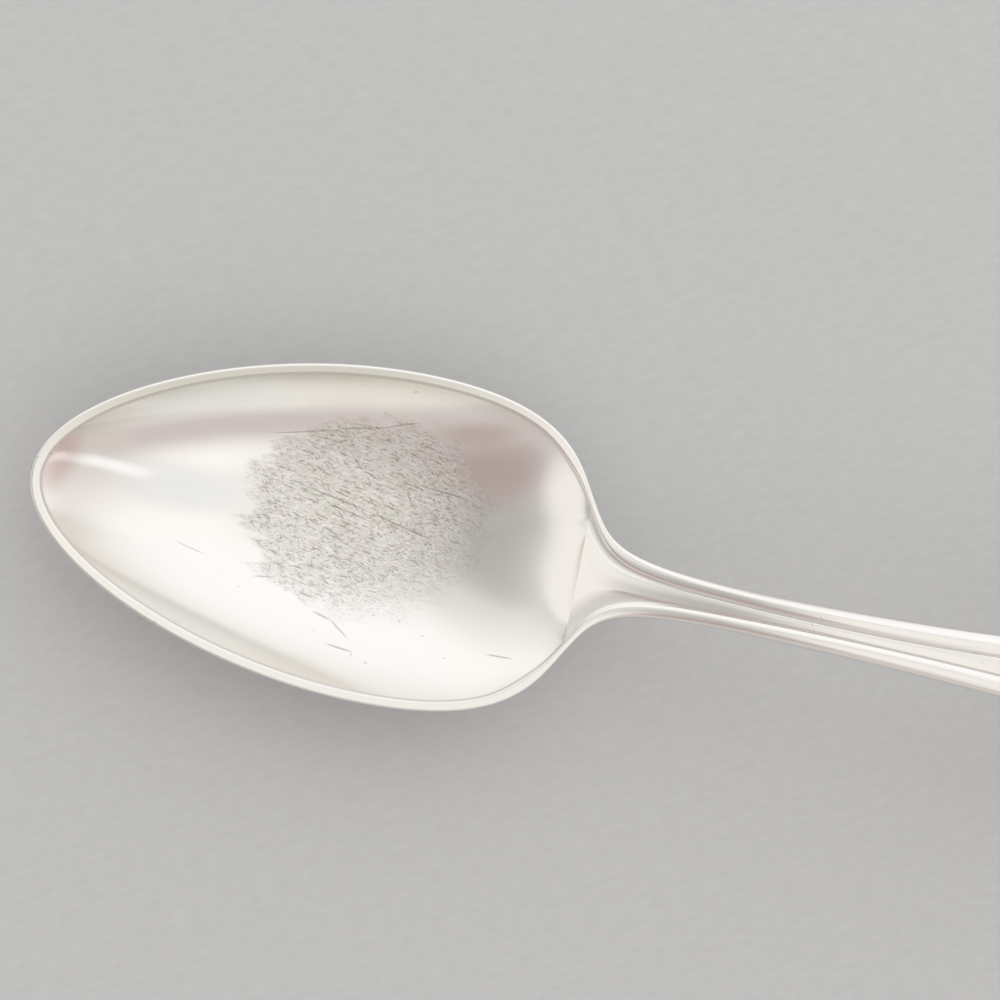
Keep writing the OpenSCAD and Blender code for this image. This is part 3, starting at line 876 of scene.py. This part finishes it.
def cloud(long, wide, angle, detail, curl=0.0):
    """Cloudy noise, each cloud that long and wide in millimetres and turned by an angle in degrees.

    It goes into the tree of the material that is being made, as do the marks and the ellipse.
    """
    turn = (0, 0, math.radians(angle))
    settings = {"vector_type": "TEXTURE", "Rotation": turn, "Scale": (long, wide, wide)}
    turned = add_node(tree, MAPPING, settings, Vector=place_mm)
    settings = {"Scale": 1.0, "Detail": detail, "Roughness": 0.55, "Distortion": curl}
    return add_node(tree, NOISE, settings, Vector=turned)


def marks(long, wide, angle, start, full, curl=0.0):
    """Marks of that size: 0 where such a cloud is below start, and 1 where it is above full."""
    settings = {"interpolation_type": "SMOOTHSTEP", "From Min": start, "From Max": full}
    return add_node(tree, RANGE, settings, Value=cloud(long, wide, angle, 1, curl))


def ellipse(middle, long, wide, angle):
    """Distance from a place on the spoon, 1 on the rim of an ellipse of that half length and half width."""
    settings = {
        "vector_type": "TEXTURE", "Location": (*middle, 0),
        "Rotation": (0, 0, math.radians(angle)), "Scale": (long, wide, FLAT),
    }
    turned = add_node(tree, MAPPING, settings, Vector=place_mm)
    return add_node(tree, VECTOR, {"operation": "LENGTH"}, i0=turned).outputs["Value"]


used = add_node(tree, MARK, {"attribute_name": "used"}).outputs["Fac"]
tarnish = add_node(tree, MARK, {"attribute_name": "tarnish"}).outputs["Fac"]
# The share of the rim's flat and of the hollow next to it where a greyer reflection is painted.
painted_reflection_share = add_node(tree, MARK, {"attribute_name": "painted_reflection_share"}).outputs["Fac"]
print("read from the skins: used, tarnish, film")

# %% [markdown]
# ### The worn patch
# Stirring scrapes the deepest place against the cup. On the real spoon this leaves a dull patch of short
# dashes. The patch's grey is partly that dull wear and partly a painted reflection of something darker above
# the bowl. The dashes are painted dark, as painted shade where they are deep, and pale, as a painted
# highlight where their burr catches the light. They could be placed one by one, as the long scratches are,
# but there are hundreds. Stretched noise that is cut off at a level gives as many, of a known length and
# width.

# %% Where the worn patch lies
# It ends in a ragged line towards the tip and fades towards the heel. Places are in millimetres from the
# spoon's middle.
patch_edge = {**SOFT_EDGE, "From Min": 1.26, "From Max": 1.4}
ragged = add_node(
    tree, MATH, {"operation": "MULTIPLY_ADD", "1": 0.7},
    i0=cloud(3.0, 1.4, -6, 6), i2=ellipse((-42.4, 0.9), 10.6, 8.6, 8),
)
patch = add_node(tree, RANGE, patch_edge, Value=ragged)
fade_edge = {**SOFT_EDGE, "From Min": 0.65, "From Max": 1.12, "To Max": 0.15}
fade = add_node(tree, RANGE, fade_edge, Value=ellipse((-45.0, 1.9), 12.6, 9.6, 8))
patch = add_node(tree, MATH, {"operation": "MULTIPLY"}, i0=patch, i1=fade)
patch = add_node(tree, MATH, {"operation": "MULTIPLY"}, i0=patch, i1=used)
print("worn patch: 21 x 17 mm, ragged towards the tip")

# %% Dashes and blotches in the patch
# The dashes are up to 1 mm long and 0.2 mm wide. Most lie along the spoon, and some curl. The blotches are
# 1 to 1.5 mm wide, some greener, as a thin stain in the roughened metal is, and some pinker, which is a
# painted reflection.
# Dark dashes: their colour is painted shade, as where a groove is deep.
dashes_with_painted_shade = add_node(
    tree, MATH, {"operation": "MAXIMUM"},
    i0=marks(1.0, 0.17, -14, 0.56, 0.68, 0.5), i1=marks(0.6, 0.17, -44, 0.58, 0.7, 1.0),
)
dashes_with_painted_shade = add_node(
    tree, MATH, {"operation": "MAXIMUM"},
    i0=dashes_with_painted_shade, i1=marks(0.7, 0.16, 22, 0.6, 0.72, 0.8),
)
# Pale dashes: their colour is a painted highlight, as where a burr catches the light.
burr_dashes_with_painted_highlight = add_node(
    tree, MATH, {"operation": "MAXIMUM"},
    i0=marks(1.1, 0.2, -10, 0.56, 0.68, 0.6), i1=marks(0.7, 0.2, 24, 0.56, 0.7, 1.0),
)
green_blotches = marks(1.5, 1.0, -12, 0.5, 0.66, 0.5)
# The pinker blotches are a painted reflection of something pinkish above the bowl.
pink_painted_reflection_blotches = marks(1.3, 1.0, 24, 0.5, 0.66, 0.5)
dashes_with_painted_shade, burr_dashes_with_painted_highlight, green_blotches, pink_painted_reflection_blotches = [
    add_node(tree, MATH, {"operation": "MULTIPLY"}, i0=pattern, i1=patch)
    for pattern in (dashes_with_painted_shade, burr_dashes_with_painted_highlight, green_blotches, pink_painted_reflection_blotches)
]
print("patch: 5 sets of dashes, 2 of blotches")

# %% [markdown]
# ### Scratches, nicks and painted reflections
# A spoon knocks against others in the drawer, which leaves long scratches and a few nicks. A greyer
# reflection is painted along the rim and a pinker one inside the tip. The scratches are few, so each is
# placed as a very thin ellipse. The nicks come from a cell pattern, which scatters small spots without
# crowding them. The painted reflections need soft borders, which wide ellipses and the numbers kept with the
# skins' points give.

# %% Scratches
# Each is its start, its end and its half width, in millimetres from the spoon's middle.
SCRATCHES = [
    ((-52.0, 6.4), (-46.0, 7.9), 0.1),
    ((-46.6, 7.9), (-42.6, 8.7), 0.08),
    ((-43.4, 8.5), (-39.8, 9.8), 0.1),
    ((-49.6, 2.8), (-41.4, 1.1), 0.09),
    ((-42.4, 1.3), (-36.7, 0.0), 0.1),
    ((-46.2, 1.4), (-42.0, 0.5), 0.08),
    ((-38.6, 4.4), (-34.8, 4.1), 0.09),
    ((-44.2, -9.9), (-41.7, -10.2), 0.08),
    ((-45.8, -7.6), (-44.0, -8.1), 0.1),
    ((-44.3, -7.9), (-42.3, -9.3), 0.07),
    ((-47.2, -6.3), (-45.9, -6.6), 0.1),
    ((-51.3, -5.7), (-49.4, -5.5), 0.07),
    ((-58.0, -3.9), (-55.4, -4.6), 0.04),
    ((-31.0, -8.2), (-28.7, -8.0), 0.05),
]
nearest = None
for start, end, wide in SCRATCHES:
    run = Vector(end) - Vector(start)
    middle = (Vector(start) + Vector(end)) / 2
    near = ellipse(middle, run.length / 2, wide, math.degrees(math.atan2(run.y, run.x)))
    if nearest is None:
        nearest = near
    else:
        nearest = add_node(tree, MATH, {"operation": "MINIMUM"}, i0=nearest, i1=near)
scratch_edge = {"From Min": 0.6, "From Max": 1.1, "To Min": 1.0, "To Max": 0.0}
scratches = add_node(tree, RANGE, scratch_edge, Value=nearest)
scratches = add_node(tree, MATH, {"operation": "MULTIPLY"}, i0=scratches, i1=used)
print(len(SCRATCHES), "long scratches")

# %% Nicks
# They are rare: one cell of the pattern holds one nick, and only cells under a few large clouds keep theirs.
NICK_CELL = (7.0, 2.4, 50.0)
nick_edge = {"From Min": 0.01, "From Max": 0.035, "To Min": 1.0, "To Max": 0.0}
nicks = None
for angle in (-8, 28, -55):
    settings = {"vector_type": "TEXTURE", "Rotation": (0, 0, math.radians(angle)), "Scale": NICK_CELL}
    turned = add_node(tree, MAPPING, settings, Vector=place_mm)
    cell = add_node(tree, CELLS, {"voronoi_dimensions": "2D", "Scale": 1.0}, Vector=turned)
    nick = add_node(tree, RANGE, nick_edge, Value=cell)
    nicks = nick if nicks is None else add_node(tree, MATH, {"operation": "MAXIMUM"}, i0=nicks, i1=nick)
nicks = add_node(tree, MATH, {"operation": "MULTIPLY"}, i0=nicks, i1=marks(9, 7, 0, 0.56, 0.68))
print("nicks: 3 sets, one in each cell of", NICK_CELL[0], "x", NICK_CELL[1], "mm")

# %% Painted reflections
# A painted reflection greys the +Y rim and what lies next to it, where the metal mirrors something darker,
# and a pinker painted reflection lies inside the tip.
painted_reflection_edge = {**SOFT_EDGE, "From Min": 0.3, "From Max": 1.0}
grey_painted_reflection = add_node(tree, RANGE, painted_reflection_edge, Value=ellipse((-57, 16), 40, 18, 5))
grey_painted_reflection = add_node(tree, MATH, {"operation": "MULTIPLY"}, i0=grey_painted_reflection, i1=painted_reflection_share)
pink_painted_reflection = add_node(tree, RANGE, painted_reflection_edge, Value=ellipse((-68.4, 1.6), 2.4, 4.2, -14))
pink_painted_reflection = add_node(tree, MATH, {"operation": "MULTIPLY"}, i0=pink_painted_reflection, i1=used)
print("films: grey along the +Y rim, pink inside the tip")

# %% [markdown]
# ### Colour, roughness and relief
# A metal has one colour, that of its reflection, and silver's is a little warm. Tarnish is a brown-grey
# layer, and scraped metal scatters light and looks greyer; the worn patch's grey is partly that and partly a
# painted reflection. Painted light is laid on too: shade and highlights on the dashes, and greyer and pinker
# reflections. All marks could share one grey, but each has its own here, because the eye tells a painted
# reflection from a scratch by its tone.

# %% Colour of the silver
# Each step gives a mark, its strength where it is fullest, and its colour, laid over the ones before it. A
# Mix node takes its colours in inputs 6 and 7 and gives its colour in output 2.
# The worn patch's grey, E8E5E0, is partly dull wear and partly a painted reflection of something darker
# above the bowl.
colour = {"data_type": "RGBA", "6": linear("#F5F3F0"), "7": linear("#E8E5E0")}
tone = add_node(tree, MIX, colour, i0=patch).outputs[2]
steps = [
    (green_blotches, 0.3, "#D0D3C6"),
    # Pink blotches: a painted reflection.
    (pink_painted_reflection_blotches, 0.35, "#DFD0CD"),
    # Painted shade on the dark dashes, and a painted highlight on the pale ones.
    (dashes_with_painted_shade, 0.6, "#8A8680"),
    (burr_dashes_with_painted_highlight, 0.5, "#FFFFFF"),
    (scratches, 0.4, "#7E7973"),
    (nicks, 0.3, "#8E8983"),
    (tarnish, 0.22, "#8B8378"),
    # Painted reflections: greyer along the +Y rim, pinker inside the tip.
    (grey_painted_reflection, 1.0, "#D6D4CC"),
    (pink_painted_reflection, 0.7, "#DEC8C4"),
]
for share, strength, hex_colour in steps:
    weaker = add_node(tree, MATH, {"operation": "MULTIPLY", "1": strength}, i0=share)
    tone = add_node(tree, MIX, {"data_type": "RGBA", "7": linear(hex_colour)}, i0=weaker, i6=tone).outputs[2]
tree.links.new(tone, shader.inputs["Base Color"])
print("colour of the silver:", len(steps), "steps")

# %% Roughness and relief of the silver
# Hand-polished plate is nearly a mirror, a little duller in clouds some millimetres wide. The worn patch
# and the tarnish are duller still.
shader.inputs["Metallic"].default_value = 1.0
soft = add_node(tree, MATH, {"operation": "MULTIPLY_ADD", "1": 0.1, "2": 0.08}, i0=cloud(7, 5, 0, 4))
soft = add_node(tree, MATH, {"operation": "MULTIPLY_ADD", "1": 0.22}, i0=patch, i2=soft)
soft = add_node(tree, MATH, {"operation": "MULTIPLY_ADD", "1": 0.3}, i0=tarnish, i2=soft)
tree.links.new(soft.outputs[0], shader.inputs["Roughness"])

# Heights are in millimetres: a broad unevenness of 0.02 mm, two sets of hairlines from washing, which are
# drawn 0.1 mm wide because real ones are too fine to show, and the marks.
relief = None
layers = [
    (cloud(6, 5, 0, 1), 0.020),
    (cloud(2.6, 0.12, -3, 1), 0.0006),
    (cloud(2.0, 0.1, 24, 1), 0.0005),
    (dashes_with_painted_shade, -0.006),
    (burr_dashes_with_painted_highlight, 0.006),
    (scratches, -0.010),
    (nicks, -0.010),
]
for height, deep in layers:
    scaled = add_node(tree, MATH, {"operation": "MULTIPLY", "1": deep}, i0=height)
    relief = scaled if relief is None else add_node(tree, MATH, {"operation": "ADD"}, i0=relief, i1=scaled)
bump = add_node(tree, BUMP, {"Strength": 1.0, "Distance": MM}, Height=relief)
tree.links.new(bump.outputs[0], shader.inputs["Normal"])
for piece in pieces.values():
    piece.data.materials.append(silver)
print("silver:", len(tree.nodes), "nodes")

# %% [markdown]
# ## Floor
# The spoon lies on plain pale paper, because a floor with a pattern of its own would show in the metal. It
# is matt, with fibres that are barely seen, and keeps the spoon's shadow. A grid of one face is enough.

# %% Floor
paper, tree, shader = new_material("pale studio paper")
place = add_node(tree, "ShaderNodeTexCoord").outputs["Object"]
place_mm = add_node(tree, VECTOR, {"operation": "SCALE", "Scale": 1 / MM}, i0=place)
# Fibres are drawn 1.6 mm long and 0.6 mm wide, because real ones are too fine to show.
fibre = cloud(1.6, 0.6, 30, 4)
tone = add_node(
    tree, MIX, {"data_type": "RGBA", "6": linear("#BFC0C1"), "7": linear("#CDCECF")}, i0=fibre,
).outputs[2]
tree.links.new(tone, shader.inputs["Base Color"])
shader.inputs["Roughness"].default_value = 0.9
bump = add_node(tree, BUMP, {"Strength": 0.3, "Distance": 0.05 * MM}, Height=fibre)
tree.links.new(bump.outputs[0], shader.inputs["Normal"])
floor_bm = bmesh.new()
bmesh.ops.create_grid(floor_bm, x_segments=1, y_segments=1, size=1.5)
floor_mesh = bpy.data.meshes.new("floor")
floor_bm.to_mesh(floor_mesh)
floor_bm.free()
floor = bpy.data.objects.new("floor", floor_mesh)
floor.data.materials.append(paper)
bpy.context.scene.collection.objects.link(floor)
print(f"floor: {floor.dimensions.x:.0f} m wide")

# %% [markdown]
# ## Light
# Polished silver shows the room, so the room is the light: a pale surround with a few broad, soft zones that
# are greyer, pinker or bluer, as walls and a ceiling are. A picture of a room could do the same, but zones
# made by nodes need no file and can be moved one by one. A zone is a cap of the sky round a direction: full
# nearer than its inner angle, gone past its outer one. Where a zone has several caps, it is what they share.

# %% A cap of the sky
world = bpy.data.worlds.new("studio")
bpy.context.scene.world = world
world.use_nodes = True
tree = world.node_tree
direction = add_node(tree, "ShaderNodeTexCoord").outputs["Generated"]


def cap(zenith, azimuth, inner, outer):
    """Share of a cap round a direction, given by its angle from straight up and its angle from +X."""
    high, round_z = math.radians(zenith), math.radians(azimuth)
    axis = (math.sin(high) * math.cos(round_z), math.sin(high) * math.sin(round_z), math.cos(high))
    towards = add_node(tree, VECTOR, {"operation": "DOT_PRODUCT", "1": axis}, i0=direction).outputs["Value"]
    settings = {
        "interpolation_type": "SMOOTHSTEP",
        "From Min": math.cos(math.radians(outer)), "From Max": math.cos(math.radians(inner)),
    }
    return add_node(tree, RANGE, settings, Value=towards)


print("the sky is read by direction")

# %% Zones of the sky
# The room is warm white. Later zones lie over earlier ones. Each cap is zenith, azimuth, inner, outer.
ROOM, ROOM_STRENGTH = "#FFFEFA", 1.08
ZONES = [
    ("#DAD8D6", [(68, 185, 68, 95), (61, -85, 78, 116)]),
    ("#F3F0EB", [(15, -120, 14, 34)]),
    ("#BDB7B0", [(168, 26, 79, 121)]),
    ("#ECEDEC", [(36, -17, 0, 24)]),
    ("#CDC3C0", [(56, -80, 26, 90), (174, 61, 116, 140), (10, 145, 82, 95)]),
    ("#D3CAC6", [(74, -36, 10, 15)]),
    ("#B4B2B0", [(44, -163, 0, 29)]),
    ("#B0A19E", [(54, -126, 0, 25)]),
    ("#B8A9A6", [(70, -106, 1, 11)]),
    ("#F3F0EB", [(91, -158, 23, 30)]),
    ("#FFFFFF", [(55, -20, 6, 14), (90, 69, 92, 95), (90, -111, 92, 95)]),
    ("#BCBEB4", [(108, -75, 19, 27)]),
    ("#DFD9CE", [(97, 65, 9, 54)]),
    ("#FFFFFF", [(55, 79, 0, 49)]),
]
sky = None
for hex_colour, caps in ZONES:
    share = None
    for shape in caps:
        part = cap(*shape)
        share = part if share is None else add_node(tree, MATH, {"operation": "MULTIPLY"}, i0=share, i1=part)
    settings = {"data_type": "RGBA", "7": linear(hex_colour)}
    if sky is None:
        sky = add_node(tree, MIX, {**settings, "6": linear(ROOM)}, i0=share).outputs[2]
    else:
        sky = add_node(tree, MIX, settings, i0=share, i6=sky).outputs[2]
background = tree.nodes["Background"]
background.inputs["Strength"].default_value = ROOM_STRENGTH
tree.links.new(sky, background.inputs["Color"])
print("sky:", len(ZONES), "zones")

# %% Lamp
# A wide disc beyond the +Y side gives the soft shadow. The metal doesn't mirror it, because the zones are
# already what it shows, and the disc would add a hard round spot.
LAMP_DISTANCE = 0.8
toward = Vector((0.2, 0.75, 0.63)).normalized()
lamp_data = bpy.data.lights.new("window", "AREA")
lamp_data.shape = "DISK"
lamp_data.size = 0.9
lamp_data.energy = 1.0
lamp = bpy.data.objects.new("window", lamp_data)
bpy.context.scene.collection.objects.link(lamp)
lamp.location = toward * LAMP_DISTANCE
lamp.rotation_euler = toward.to_track_quat("Z", "Y").to_euler()
lamp.visible_glossy = False
print(f"lamp: {lamp_data.size:.1f} m wide at {LAMP_DISTANCE} m")

# %% [markdown]
# ## Camera
# The photo was taken by hand from almost straight above, about 160 mm over the bowl, with the handle running
# out of the picture. The lens and the place were measured from how the rim and the stem lie in the picture.

# %% Camera
camera_data = bpy.data.cameras.new("camera")
camera = bpy.data.objects.new("camera", camera_data)
bpy.context.scene.collection.objects.link(camera)
bpy.context.scene.camera = camera
camera_data.sensor_width = 36.0
camera_data.lens = 70.0
camera_data.clip_start = 0.01
camera.location = Vector((-48.73, 13.68, 166.96)) * MM
camera.rotation_euler = [math.radians(angle) for angle in (-4.25, -5.13, 11.31)]
print(f"camera: {camera_data.lens:.0f} mm lens, {camera.location.z / MM:.0f} mm over the floor")

# %% [markdown]
# ## Sizes and the view
# The finished pieces stand in for the CAD model's nodes, so they have to fit its box. The picture is shown
# in the Standard view, so a colour renders as it is written.

# %% The view
bpy.context.scene.view_settings.view_transform = "Standard"
